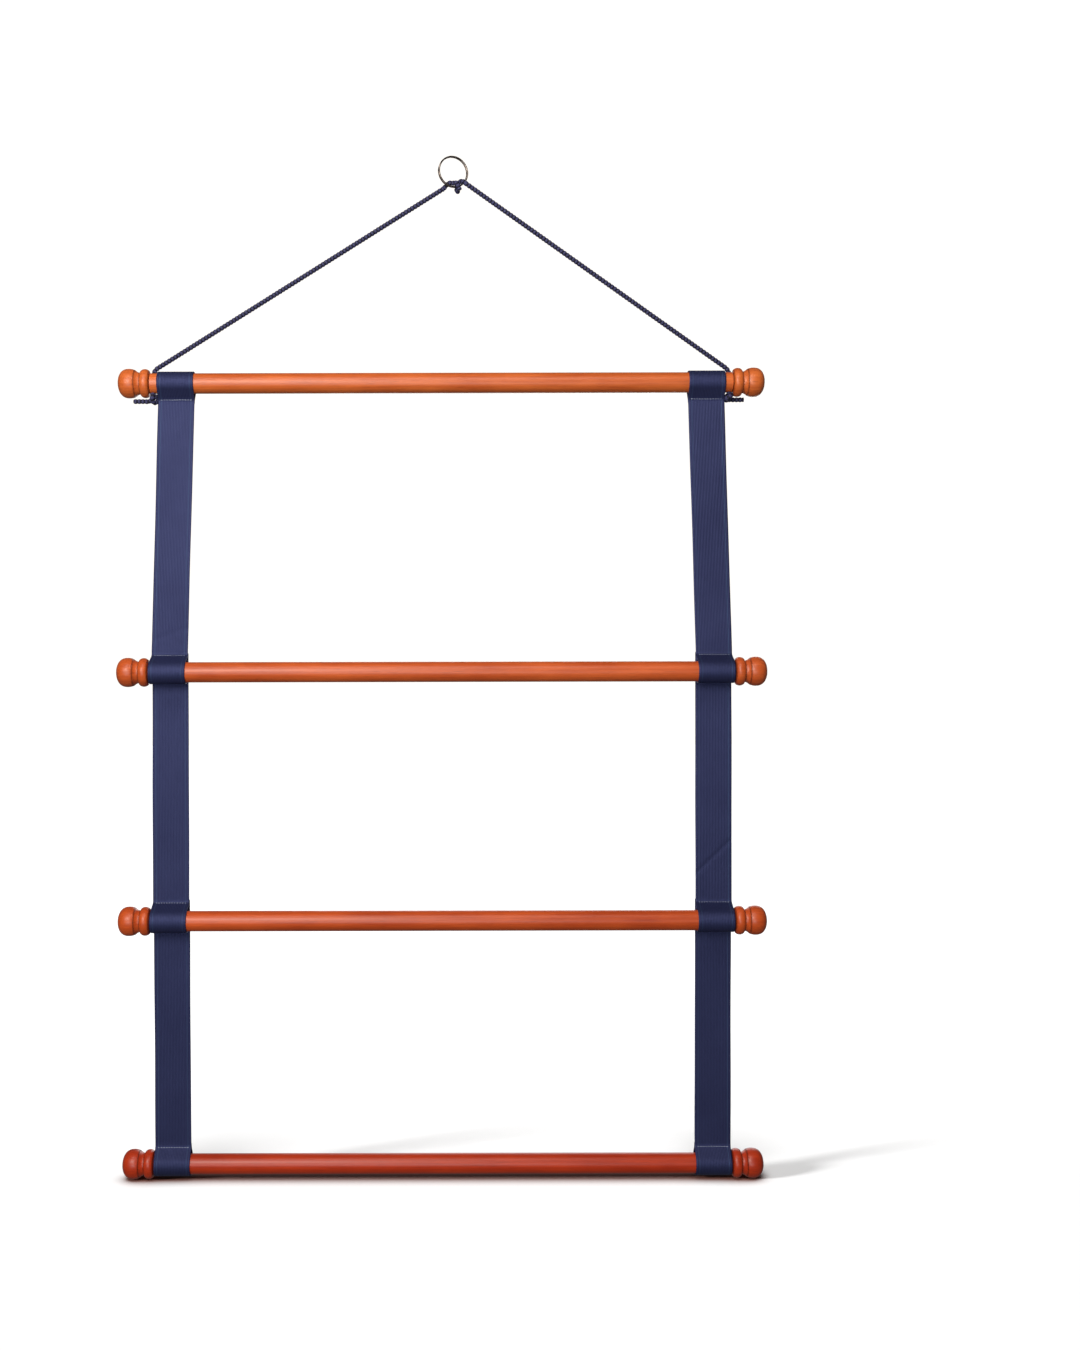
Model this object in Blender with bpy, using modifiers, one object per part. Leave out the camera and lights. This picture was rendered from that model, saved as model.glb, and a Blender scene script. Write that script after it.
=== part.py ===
"""Hanging rack of four turned wooden rails.

Two webbing straps are sewn into a loop round each rail. A braided cord runs from
a wire ring, through a hole near each end of the top rail, to a stopper knot.

Metres, +Z up, +X to the right seen from the front, which faces -Y. The origin is
the point inside the top of the ring where it bears on a hook.
"""

import math

import bmesh
import bpy
from mathutils import Matrix, Vector

GAP = 0.0003  # left between pieces that touch

# Ring of round wire, standing in the XZ plane
RING_EYE_R = 0.0151
RING_WIRE_R = 0.0012
RING_MID_R = RING_EYE_R + RING_WIRE_R
RING_FOOT_Z = -RING_EYE_R - RING_MID_R  # middle of the wire at the ring's lowest point

# Braided cord
CORD_R = 0.00275
CORD_BEND_R = 4 * CORD_R
CORD_HOLE_R = CORD_R + 0.00075
CORD_LIFT = RING_WIRE_R + CORD_R + 2 * GAP  # from the wire's middle to the cord's, at the hitch
HITCH_R = RING_WIRE_R + 2 * CORD_R + GAP
HITCH_WIDTH = 0.0080
HITCH_END_WALL = 0.0016
KNOT_WIDTH = 0.0094
KNOT_DEPTH = 0.0120
KNOT_HEIGHT = 0.0115
KNOT_OUT = 0.0008  # from the hole's middle to the knot's, outwards
TAIL_LENGTH = 0.0170
TAIL_CLEAR = 0.0015  # from a cut tail to the finial that it lies along
# Each tail: how far outwards from the hole it starts, and how far round to the back it lies
TAILS = {"left": (0.0060, 0), "right": (0.0020, math.radians(28))}

# Rails
RAIL_LENGTH = 0.7110  # over the finials
ROD_R = 0.0111
FINIAL_LENGTH = 0.0355
TENON_R = 0.0060
TENON_LENGTH = 0.0180
TENON_CLEAR = 0.0003
BALL_R = 0.0160
BALL_OUT = 0.0121  # from the tip to the ball's widest circle
BALL_IN = 0.0153  # half length of the ball on its rail side
BALL_POWER = 2.35
GROOVE_R = 0.0121
GROOVE_AT = 0.0235  # from the tip
BEAD_AT = 0.0296  # from the tip
BEAD_HEIGHT = 0.0046  # above the rod
BEAD_OUT = 0.0050
BEAD_IN = 0.0059

# Heights of the rails, and how far the ring sits to the right of their middle
TOP_RAIL_DROP = 0.2475  # from the origin to the top rail's axis
PITCHES = (0.3180, 0.2730, 0.2730)
RING_OFFSET = 0.0135

# Straps
WEB_WIDTH = 0.0400
WEB_T = 0.0015
SEWN_GAP = 0.0003  # between two layers sewn together
LOOP_CLEAR = 0.0004  # between a rod and its loop
NECK = 0.0085  # bare rod between the top loops and the beads, where the cord passes
BEAD_CLEAR = 0.0005  # between the lower loops and the beads
SEAM_TO_AXIS = 0.0185
HINGE_RISE = 0.0060  # from a seam to the line that the strap bends on
FOLD_RISE = 0.0015  # from a seam to the fold that closes it
END_GAP = 0.0013  # from the bending line to the end of either length of webbing
WEB_TAIL = 0.0035  # webbing left beyond a seam
BACK_LEANS = (0.0049, 0.0097)  # how far each hanging length slopes back, top one first

LAYER = WEB_T + SEWN_GAP
LOOP_MID_R = ROD_R + LOOP_CLEAR + WEB_T / 2
ROD_FORWARD = LOOP_MID_R - LAYER  # middle rails hang this far in front of their seams
ROD_BELOW = HINGE_RISE + SEAM_TO_AXIS

ROD_HALF = RAIL_LENGTH / 2 - FINIAL_LENGTH
TOP_STRAP_X = ROD_HALF - NECK - WEB_WIDTH / 2
STRAP_X = ROD_HALF - BEAD_CLEAR - WEB_WIDTH / 2
CORD_X = ROD_HALF - NECK / 2

TURNED_STEPS = 20
ARC_STEP = math.radians(15)
RAIL_NAMES = ("top_rail", "second_rail", "third_rail", "bottom_rail")
SIDES = (("left", -1), ("right", 1))


def clear_scene():
    for obj in list(bpy.data.objects):
        bpy.data.objects.remove(obj, do_unlink=True)


def new_collection(name):
    collection = bpy.data.collections.new(name)
    bpy.context.scene.collection.children.link(collection)
    return collection


def principled(name, colour, roughness, metallic=0.0):
    material = bpy.data.materials.new(name)
    material.use_nodes = True
    shader = material.node_tree.nodes["Principled BSDF"]
    shader.inputs["Base Color"].default_value = (*colour, 1.0)
    shader.inputs["Roughness"].default_value = roughness
    shader.inputs["Metallic"].default_value = metallic
    return material


def pivot(name, at, parent=None):
    """An empty on a joint's axis. Its place is given in world coordinates."""
    empty = bpy.data.objects.new(name, None)
    empty.empty_display_size = 0.02
    parts.objects.link(empty)
    place(empty, at, parent)
    return empty


def world_place(obj):
    """Where an unturned empty stands, through all its parents."""
    return obj.location + (world_place(obj.parent) if obj.parent else Vector())


def place(obj, at, parent):
    obj.location = Vector(at)
    if parent:
        obj.parent = parent
        obj.location -= world_place(parent)


def keep_in(collection, obj):
    for owner in list(obj.users_collection):
        owner.objects.unlink(obj)
    collection.objects.link(obj)


def finish(obj, material, at, parent):
    keep_in(parts, obj)
    obj.data.materials.clear()
    obj.data.materials.append(material)
    place(obj, at, parent)
    return obj


def smooth(mesh):
    mesh.shade_smooth()
    mesh.set_sharp_from_angle(angle=math.radians(40))


def turned(name, profile, material, at, parent, turn, steps=TURNED_STEPS):
    """A lathe-turned solid. The profile runs down its outer side as (radius, height), and
    the turn about Y lays its axis along X."""
    mesh = bpy.data.meshes.new(name)
    shape = bmesh.new()
    points = [shape.verts.new((radius, 0, height)) for radius, height in profile]
    for pair in zip(points, points[1:]):
        shape.edges.new(pair)
    shape.to_mesh(mesh)
    shape.free()
    obj = bpy.data.objects.new(name, mesh)
    obj.rotation_euler = (0, turn, 0)
    screw = obj.modifiers.new("turn", "SCREW")
    screw.axis = "Z"
    screw.steps = steps
    screw.render_steps = steps
    screw.use_merge_vertices = True
    screw.merge_threshold = 0.00001
    screw.use_smooth_shade = True
    return finish(obj, material, at, parent)


def tube(name, points, at, parent):
    """A round cord along points that are relative to its place."""
    curve = bpy.data.curves.new(name, "CURVE")
    curve.dimensions = "3D"
    curve.bevel_depth = CORD_R
    curve.bevel_resolution = 2
    curve.use_fill_caps = True
    spline = curve.splines.new("POLY")
    spline.points.add(len(points) - 1)
    for point, at_point in zip(spline.points, points):
        point.co = (*at_point, 1.0)
    obj = bpy.data.objects.new(name, curve)
    return finish(obj, cord, at, parent)


def cutter(name, radius, depth, at):
    bpy.ops.mesh.primitive_cylinder_add(vertices=24, radius=radius, depth=depth)
    obj = bpy.context.object
    obj.name = name
    obj.display_type = "WIRE"
    obj.hide_render = True
    keep_in(cutters, obj)
    obj.location = at
    return obj


def cut(obj, tool):
    boolean = obj.modifiers.new(tool.name, "BOOLEAN")
    boolean.operation = "DIFFERENCE"
    boolean.solver = "EXACT"
    boolean.object = tool


def arc(centre, radius, start, end):
    """Points of an arc in the YZ plane. Angles run from +Y towards +Z."""
    count = max(2, math.ceil(abs(end - start) / ARC_STEP) + 1)
    angles = [start + (end - start) * i / (count - 1) for i in range(count)]
    return [(centre[0] + radius * math.cos(a), centre[1] + radius * math.sin(a)) for a in angles]


def tangent_angle(point, centre, radius, side):
    """Where a straight line from the point meets the circle: side 1 is the front, -1 the back."""
    away = (point[0] - centre[0], point[1] - centre[1])
    return math.atan2(away[1], away[0]) + side * math.acos(radius / math.hypot(*away))


def loop(front, back, centre):
    """A loop under a rod: down the front from one sewn point, and up behind to the other."""
    start = tangent_angle(front, centre, LOOP_MID_R, 1)
    end = tangent_angle(back, centre, LOOP_MID_R, -1) + math.tau
    return [front, *arc(centre, LOOP_MID_R, start, end), back]


def top_strap_path():
    """From the tail behind the seam, over the top rail and down to the next bending line.
    The points are relative to the top rail's axis."""
    front = (-LAYER / 2, SEAM_TO_AXIS)
    back = (LAYER / 2, SEAM_TO_AXIS)
    over = [(y, -z) for y, z in reversed(loop(front, back, (0, 0)))]
    tail = (LAYER / 2, -SEAM_TO_AXIS - WEB_TAIL)
    foot = (0, ROD_BELOW - PITCHES[0] + END_GAP)
    return [tail, *over, foot]


def middle_strap_path(pitch, lean):
    """From a bending line, round a middle rail, up to the fold at the seam and down behind
    to the next bending line. The points are relative to the first bending line."""
    front = (0, -HINGE_RISE)
    back = (LAYER, -HINGE_RISE)
    centre = (-ROD_FORWARD, -ROD_BELOW)
    fold_middle = (1.5 * LAYER, FOLD_RISE - HINGE_RISE)
    fold = arc(fold_middle, LAYER / 2, math.pi, 0)
    return [(0, -END_GAP), *loop(front, back, centre), *fold, (lean, END_GAP - pitch)]


def bottom_strap_path():
    """From the last bending line, round the bottom rail and up behind to the strap's end."""
    front = (0, -HINGE_RISE)
    back = (LAYER, -HINGE_RISE)
    tail = (LAYER, WEB_TAIL - HINGE_RISE)
    return [(0, -END_GAP), *loop(front, back, (0, -ROD_BELOW)), tail]


def strap(name, path, middle_at, at, parent):
    """A length of webbing: its side view drawn across its width, then given its thickness."""
    shape = bmesh.new()
    points = [shape.verts.new((middle_at(z) - WEB_WIDTH / 2, y, z)) for y, z in path]
    edges = [shape.edges.new(pair) for pair in zip(points, points[1:])]
    drawn = bmesh.ops.extrude_edge_only(shape, edges=edges)["geom"]
    far_side = [item for item in drawn if isinstance(item, bmesh.types.BMVert)]
    bmesh.ops.translate(shape, verts=far_side, vec=(WEB_WIDTH, 0, 0))
    mesh = bpy.data.meshes.new(name)
    shape.to_mesh(mesh)
    shape.free()
    obj = bpy.data.objects.new(name, mesh)
    solidify = obj.modifiers.new("thickness", "SOLIDIFY")
    solidify.thickness = WEB_T
    solidify.offset = 0
    solidify.use_even_offset = True
    return finish(obj, webbing, at, parent)


def superellipse(share):
    """Height of a unit superellipse at a share of its half width."""
    return (1 - share**BALL_POWER) ** (1 / BALL_POWER)


def finial_profile():
    """Outline of a finial from its tip, at height 0, down to the face on the rail and up its bore."""
    outline = [(0, 0)]
    for angle in range(18, 91, 18):
        share = math.sin(math.radians(angle))
        outline.append((BALL_R * share, -BALL_OUT * (1 - superellipse(share))))
    for i in range(1, 4):
        along = (GROOVE_AT - BALL_OUT) * i / 3
        radius = BALL_R * superellipse(along / BALL_IN)
        outline.append((max(radius, GROOVE_R), -BALL_OUT - along))
    for angle in range(165, 14, -30):
        side = BEAD_OUT if angle > 90 else BEAD_IN
        height = -BEAD_AT - side * math.cos(math.radians(angle))
        radius = ROD_R + BEAD_HEIGHT * math.sin(math.radians(angle))
        outline.append((max(radius, GROOVE_R), height))
    face = -FINIAL_LENGTH + GAP
    bore_r = TENON_R + TENON_CLEAR
    bore_end = -FINIAL_LENGTH + TENON_LENGTH + TENON_CLEAR
    return [*outline, (ROD_R, face), (bore_r, face), (bore_r, bore_end), (0, bore_end)]


def rod_profile():
    tenon_end = ROD_HALF + TENON_LENGTH
    half = [(0, tenon_end), (TENON_R, tenon_end), (TENON_R, ROD_HALF), (ROD_R, ROD_HALF)]
    return half + [(radius, -height) for radius, height in reversed(half)]


def build_rail(name, at, parent):
    """A rod with a round tenon on each end, and the two finials glued on to them."""
    rod = turned(name + "_rod", rod_profile(), wood, at, parent, math.pi / 2)
    for side, sign in SIDES:
        tip = (at[0] + sign * RAIL_LENGTH / 2, at[1], at[2])
        turn = sign * math.pi / 2
        turned(f"{name}_{side}_finial", finial_profile(), wood, tip, parent, turn)
    return rod


def ring_rise(x):
    """How far the ring's wire has risen above its lowest point."""
    return RING_MID_R - math.sqrt(RING_MID_R**2 - x**2)


def build_hitch(name, start, end, parent):
    """Turns of cord round the ring's wire, wide enough at its ends for the wire's curve."""
    middle = (start + end) / 2
    half = (end - start) / 2
    end_r = RING_WIRE_R + GAP + ring_rise(HITCH_WIDTH) + HITCH_END_WALL
    outer = []
    for angle in range(0, 181, 30):
        bulge = math.sin(math.radians(angle)) ** 0.7
        height = middle + half * math.cos(math.radians(angle))
        outer.append((end_r + (HITCH_R - end_r) * bulge, height))
    inner = []
    for i in range(5):
        height = start + (end - start) * i / 4
        inner.append((RING_WIRE_R + GAP + ring_rise(height), height))
    profile = [*outer, *inner, outer[0]]
    foot = (0, 0, RING_FOOT_Z)
    turned(name, profile, cord, foot, parent, math.pi / 2, steps=16)


def cord_route(sign, hole, top_z):
    """Middle line of one side's cord: straight from its hitch, round an easy bend over the
    rail, and down through the hole."""
    lift = CORD_LIFT * math.sqrt(0.5)
    bend_middle = Vector((hole - sign * CORD_BEND_R, 0, top_z))
    start = Vector((sign * (HITCH_WIDTH + CORD_R), -sign * lift, RING_FOOT_Z - lift))
    reach = Vector((start.x - bend_middle.x, 0, start.z - bend_middle.z))
    level = math.atan2(reach.z, -sign * reach.x)
    turn = math.pi - level - math.acos(CORD_BEND_R / reach.length)
    bend = []
    for i in range(7):
        angle = turn * (1 - i / 6)
        bend.append(bend_middle + CORD_BEND_R * Vector((sign * math.cos(angle), 0, math.sin(angle))))
    run = [start.lerp(bend[0], i / 24) for i in range(24)]
    foot = Vector((hole, 0, top_z - 2 * ROD_R))
    down = [bend[-1].lerp(foot, i / 2) for i in (1, 2)]
    return run + bend + down


def build_stopper(side, sign, hole, rail_z, parent):
    """The knot under the top rail, and the cord's tail lying outwards from it."""
    middle = Vector((hole + sign * KNOT_OUT, 0, rail_z - ROD_R - GAP - KNOT_HEIGHT / 2))
    bpy.ops.mesh.primitive_uv_sphere_add(segments=14, ring_count=8, radius=0.5)
    knot = bpy.context.object
    knot.name = side + "_stopper_knot"
    size = Matrix.Diagonal((KNOT_WIDTH, KNOT_DEPTH, KNOT_HEIGHT, 1))
    knot.data.transform(size)
    smooth(knot.data)
    finish(knot, cord, middle, parent)
    out, round_back = TAILS[side]
    reach = max(BALL_R, ROD_R + BEAD_HEIGHT) + TAIL_CLEAR + CORD_R
    below = Vector((0, math.sin(round_back), -math.cos(round_back)))
    start = Vector((hole + sign * out, 0, rail_z)) + below * reach
    tail = [Vector((sign * TAIL_LENGTH * i / 3, 0, 0)) for i in range(4)]
    tube(side + "_cord_tail", tail, start, parent)


def build_ring(parent):
    bpy.ops.mesh.primitive_torus_add(
        major_radius=RING_MID_R,
        minor_radius=RING_WIRE_R,
        major_segments=40,
        minor_segments=8,
    )
    ring = bpy.context.object
    ring.name = "hanging_ring"
    ring.data.transform(Matrix.Rotation(math.pi / 2, 4, "X"))
    smooth(ring.data)
    finish(ring, nickel, (0, 0, -RING_EYE_R), parent)


def build_bridle(parent, top_rail):
    """Both cords, hitched to the ring and threaded through the top rail's ends."""
    rail_z = -TOP_RAIL_DROP
    build_hitch("left_ring_hitch", -HITCH_WIDTH, -GAP / 2, parent)
    build_hitch("right_ring_hitch", GAP / 2, HITCH_WIDTH, parent)
    for side, sign in SIDES:
        hole = sign * CORD_X - RING_OFFSET
        cut(top_rail, cutter(f"{side}_cord_hole", CORD_HOLE_R, 4 * ROD_R, (hole, 0, rail_z)))
        route = cord_route(sign, hole, rail_z + ROD_R)
        tube(side + "_cord", route, (0, 0, 0), parent)
        build_stopper(side, sign, hole, rail_z, parent)


def build_top_straps(axis, parent):
    """The straps lean outwards from the top rail's necks to the beads of the next rail."""
    path = top_strap_path()
    start = -SEAM_TO_AXIS
    end = path[-1][1]
    for side, sign in SIDES:

        def middle_at(z, sign=sign):
            share = min(1, max(0, (z - start) / (end - start)))
            return sign * (TOP_STRAP_X + (STRAP_X - TOP_STRAP_X) * share)

        strap(side + "_strap_upper", path, middle_at, axis, parent)


def build_straps(name, path, axis, parent):
    for side, sign in SIDES:
        strap(f"{side}_strap_{name}", path, lambda z, sign=sign: sign * STRAP_X, axis, parent)


clear_scene()
parts = new_collection("four_rail_hanging_rack")
cutters = new_collection("cutters")
wood = principled("stained_wood", (0.46, 0.10, 0.03), 0.32)
webbing = principled("navy_webbing", (0.05, 0.055, 0.12), 0.85)
cord = principled("navy_cord", (0.03, 0.03, 0.09), 0.8)
nickel = principled("nickel_wire", (0.62, 0.58, 0.52), 0.25, 1.0)

hook_point = pivot("hook_point", (0, 0, 0))
ring_foot = pivot("ring_foot_axis", (0, 0, RING_FOOT_Z), hook_point)
build_ring(hook_point)

rail_place = (-RING_OFFSET, 0, -TOP_RAIL_DROP)
top_rod = build_rail(RAIL_NAMES[0], rail_place, ring_foot)
build_bridle(ring_foot, top_rod)
strap_axis = pivot("top_rail_axis", rail_place, ring_foot)
build_top_straps(rail_place, strap_axis)

bend_place = Vector((-RING_OFFSET, 0, -TOP_RAIL_DROP - PITCHES[0] + ROD_BELOW))
for i, section in enumerate(("middle", "lower")):
    strap_axis = pivot(section + "_bending_line", bend_place, strap_axis)
    build_straps(section, middle_strap_path(PITCHES[i + 1], BACK_LEANS[i]), bend_place, strap_axis)
    rail_place = bend_place + Vector((0, -ROD_FORWARD, -ROD_BELOW))
    rail_axis = pivot(RAIL_NAMES[i + 1] + "_axis", rail_place, strap_axis)
    build_rail(RAIL_NAMES[i + 1], rail_place, rail_axis)
    bend_place = bend_place + Vector((0, BACK_LEANS[i], -PITCHES[i + 1]))

strap_axis = pivot("bottom_bending_line", bend_place, strap_axis)
build_straps("bottom_loop", bottom_strap_path(), bend_place, strap_axis)
rail_place = bend_place + Vector((0, 0, -ROD_BELOW))
rail_axis = pivot(RAIL_NAMES[3] + "_axis", rail_place, strap_axis)
build_rail(RAIL_NAMES[3], rail_place, rail_axis)
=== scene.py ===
"""Hanging rack of four turned, stained rails in two webbing straps, with its braided cords.

Everything is in metres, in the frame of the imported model: +Z up, the front faces -Y, and
the origin is the point inside the ring where it bears on a hook. After the cords, the
sections put the rack together: its ring, its rails, its straps and their seams.
"""

import math

import bmesh
import bpy
import numpy as np
from mathutils import Matrix, Vector


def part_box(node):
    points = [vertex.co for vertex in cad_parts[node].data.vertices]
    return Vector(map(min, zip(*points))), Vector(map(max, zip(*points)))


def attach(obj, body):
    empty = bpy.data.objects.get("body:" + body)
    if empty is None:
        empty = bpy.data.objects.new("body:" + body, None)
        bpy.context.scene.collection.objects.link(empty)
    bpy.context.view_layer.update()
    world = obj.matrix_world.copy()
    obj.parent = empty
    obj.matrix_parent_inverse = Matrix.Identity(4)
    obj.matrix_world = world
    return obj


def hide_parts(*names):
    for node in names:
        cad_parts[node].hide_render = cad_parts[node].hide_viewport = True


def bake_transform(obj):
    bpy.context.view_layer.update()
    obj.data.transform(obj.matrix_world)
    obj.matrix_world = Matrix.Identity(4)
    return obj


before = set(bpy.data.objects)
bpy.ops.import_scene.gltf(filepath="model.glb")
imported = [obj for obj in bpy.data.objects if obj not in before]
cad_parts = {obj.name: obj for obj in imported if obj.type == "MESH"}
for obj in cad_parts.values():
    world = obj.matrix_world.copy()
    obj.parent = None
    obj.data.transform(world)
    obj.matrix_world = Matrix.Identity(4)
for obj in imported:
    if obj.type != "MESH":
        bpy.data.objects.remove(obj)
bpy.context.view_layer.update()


# ---------------------------------------------------------------- camera, light and floor
# A level camera stands 1.6 m in front of the rack. Four soft lights are for the rack alone, and
# two broad ones, from above and from the left, are for the floor alone. The white floor has a
# painted contact shadow close under the rack, tinted warm like light bounced off the wood, and a
# painted glow behind the rack that washes the shadows there out to plain white.

CAMERA_AT = (0.0, -1.60, -0.569)
CAMERA_LENS = 38.75
CAMERA_SHIFT = 0.0636
CAMERA_ROLL = math.radians(0.12)

WHITE = (1, 1, 1)
WARM_WHITE = (1, 0.95, 0.87)
COOL_WHITE = (0.94, 0.97, 1)
# Each light on the rack: its place, what it faces, its size, power and colour
RACK_LIGHTS = {
    "softbox": ((-0.55, -1.50, 0.02), (-0.15, 0, -0.45), (0.7, 0.7), 17.5, WARM_WHITE),
    "top_strip": ((-0.10, -0.75, 0.40), (0, 0, -0.50), (0.9, 0.3), 4.0, WARM_WHITE),
    "low_fill": ((-0.30, -2.20, -0.95), (0, 0, -0.80), (1.2, 0.6), 13, COOL_WHITE),
    "back_fill": ((0.40, 1.90, -0.30), (0, 0, -0.60), (1.6, 1.2), 12, WHITE),
}
# Each light on the floor: its strength, and in degrees its spread and its turn about X and Y
FLOOR_LIGHTS = {
    "overhead": (2.5, 35, 32, -12),
    "low_left": (4.7, 10, 23, -71),
}
ROOM_COLOUR = (1, 0.97, 0.93)
ROOM_LIGHT = 0.10
ROOM_SEEN = 1.10  # how bright the room looks to the camera

FLOOR_SIZE = 14
FLOOR_MIDDLE_Y = 3
FLOOR_GAP = 0.0002
FLOOR_COLOUR = (0.86, 0.86, 0.86)
# Painted contact shadow: the floor's colour right under the rack, dark and tinted warm like
# light bounced off the wood
PAINTED_CONTACT_SHADOW = (0.15, 0.058, 0.043)  # right under the rack
CONTACT_REACH = 0.03
# Painted light: the floor glows behind the rack, from FADE_FROM to FADE_TO, and washes out the
# rack's shadows there
FADE_FROM = 0.03  # how far behind the rack the floor starts to fade, and ends
FADE_TO = 0.25
FADE_GLOW = 0.22

camera_data = bpy.data.cameras.new("camera")
camera_data.lens = CAMERA_LENS
camera_data.shift_x = CAMERA_SHIFT
camera = bpy.data.objects.new("camera", camera_data)
camera.location = CAMERA_AT
camera.rotation_euler = (math.radians(90), CAMERA_ROLL, 0)
bpy.context.scene.collection.objects.link(camera)
bpy.context.scene.camera = camera
bpy.context.scene.view_settings.view_transform = "Standard"


def soft_light(name, at, towards, size, power, colour):
    lamp = bpy.data.lights.new(name, "AREA")
    lamp.color = colour
    lamp.shape = "RECTANGLE"
    lamp.size, lamp.size_y = size
    lamp.energy = power
    lamp_object = bpy.data.objects.new(name, lamp)
    lamp_object.location = at
    aim = Vector(towards) - Vector(at)
    lamp_object.rotation_euler = aim.to_track_quat("-Z", "Y").to_euler()
    lamp_object.visible_camera = False
    bpy.context.scene.collection.objects.link(lamp_object)
    return lamp_object


def new_material(name):
    material = bpy.data.materials.new(name)
    material.use_nodes = True
    return material, material.node_tree.nodes, material.node_tree.links


def set_inputs(node, values):
    for socket, value in values.items():
        node.inputs[socket].default_value = value


def ramp(nodes, low, low_colour, high, high_colour):
    """A colour ramp that goes from one colour at low to another at high."""
    node = nodes.new("ShaderNodeValToRGB")
    first, last = node.color_ramp.elements
    first.position, first.color = low, (*low_colour, 1)
    last.position, last.color = high, (*high_colour, 1)
    return node


def white_floor():
    material, nodes, links = new_material("white_floor")
    shader = nodes["Principled BSDF"]
    set_inputs(shader, {"Roughness": 0.9, "Specular IOR Level": 0.1})
    # Painted shade: where the rack hems the floor in, its colour turns to the painted contact
    # shadow
    openness = nodes.new("ShaderNodeAmbientOcclusion")
    openness.inputs["Distance"].default_value = CONTACT_REACH
    painted_shadow = ramp(nodes, 0.30, PAINTED_CONTACT_SHADOW, 0.85, FLOOR_COLOUR)
    links.new(openness.outputs["AO"], painted_shadow.inputs["Fac"])
    links.new(painted_shadow.outputs["Color"], shader.inputs["Base Color"])
    # Painted light: the floor glows more the further behind the rack it lies, which washes the
    # rack's shadows there out to white
    place = nodes.new("ShaderNodeNewGeometry")
    directions = nodes.new("ShaderNodeSeparateXYZ")
    fade = nodes.new("ShaderNodeMapRange")
    fade.interpolation_type = "SMOOTHSTEP"
    set_inputs(fade, {"From Min": FADE_FROM, "From Max": FADE_TO, "To Max": FADE_GLOW})
    links.new(place.outputs["Position"], directions.inputs["Vector"])
    links.new(directions.outputs["Y"], fade.inputs["Value"])
    shader.inputs["Emission Color"].default_value = (*WHITE, 1)
    links.new(fade.outputs["Result"], shader.inputs["Emission Strength"])
    return material


rack_lights = [soft_light(name, *setting) for name, setting in RACK_LIGHTS.items()]

floor_level = min(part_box("bottom_rail_left_finial")[0].z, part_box("bottom_rail_rod")[0].z)
floor_at = (0, FLOOR_MIDDLE_Y, floor_level - FLOOR_GAP)
bpy.ops.mesh.primitive_plane_add(size=FLOOR_SIZE, location=floor_at)
floor = bpy.context.object
floor.name = "studio_floor"
floor.visible_diffuse = False
floor.visible_glossy = False
floor.data.materials.append(white_floor())

floor_lit = bpy.data.collections.new("floor_lit")
floor_lit.objects.link(floor)
for name, (strength, spread, turn_x, turn_y) in FLOOR_LIGHTS.items():
    sun_data = bpy.data.lights.new(name, "SUN")
    sun_data.energy = strength
    sun_data.angle = math.radians(spread)
    sun = bpy.data.objects.new(name, sun_data)
    sun.rotation_euler = (math.radians(turn_x), math.radians(turn_y), 0)
    sun.light_linking.receiver_collection = floor_lit
    bpy.context.scene.collection.objects.link(sun)
floor_unlit = bpy.data.collections.new("floor_unlit")
floor_unlit.objects.link(floor)
floor_unlit.collection_objects[0].light_linking.link_state = "EXCLUDE"
for light in rack_lights:
    light.light_linking.receiver_collection = floor_unlit

world = bpy.data.worlds.new("studio")
world.use_nodes = True
bpy.context.scene.world = world
world_nodes = world.node_tree.nodes
world_links = world.node_tree.links
backdrop = world_nodes["Background"]
seen = world_nodes.new("ShaderNodeLightPath")
brightness = world_nodes.new("ShaderNodeMapRange")
set_inputs(brightness, {"To Min": ROOM_LIGHT, "To Max": ROOM_SEEN})
world_links.new(seen.outputs["Is Camera Ray"], brightness.inputs["Value"])
world_links.new(brightness.outputs["Result"], backdrop.inputs["Strength"])
backdrop.inputs["Color"].default_value = (*ROOM_COLOUR, 1)


# ---------------------------------------------------------------- braided cords
# Each side has its own length of navy polyester cord, a round braid of eight strands. It is
# hitched to the ring, runs taut to the top rail and drops through a drilled hole, and a
# knot pulled tight underneath stops it. The cut tail is left sticking out.

SIDES = (("left", -1), ("right", 1))
CORD_R = 0.00275
CORD_HOLE_R = CORD_R + 0.00075
CORD_BEND_R = 4 * CORD_R
BEND_ABOVE_AXIS = 0.0078
HOLE_FROM_TIP = 0.0387
RUN_STEPS = 24  # points along the cord's straight run, its bend and its drop
BEND_STEPS = 6
DROP_STEPS = 4
STRANDS_EACH_WAY = 4
STRAND_REPEAT = 0.0040  # along the cord, from one strand to the next
STRAND_ROUNDNESS = 0.92
STRAND_SHARE = 0.62  # how much of the relief is a strand's round back, and not its weaving
BRAID_RELIEF = 0.00085  # from a strand's crown down to the groove beside it
BRAID_STEP = 0.00040
BRAID_SEGMENTS = 40
SEALED_END = 0.8  # a cut end's width, as a share of the cord's
HITCH_LAP = 4  # points of the run that its hitch lies along
TAIL_LENGTH = 0.0170
TAIL_LIFT = 0.0005
TAIL_STEPS = 4
CORD_COLOUR = (0.080, 0.082, 0.225)
# Painted shade, for the bottoms of the braid's grooves
GROOVE_SHADE = (0.008, 0.007, 0.026)

# Where each cord's run starts, from the foot of the ring: along, back and up
RUN_STARTS = {"left": (-0.0106, 0.0030, -0.0012), "right": (0.0137, -0.0030, 0.0028)}
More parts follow.
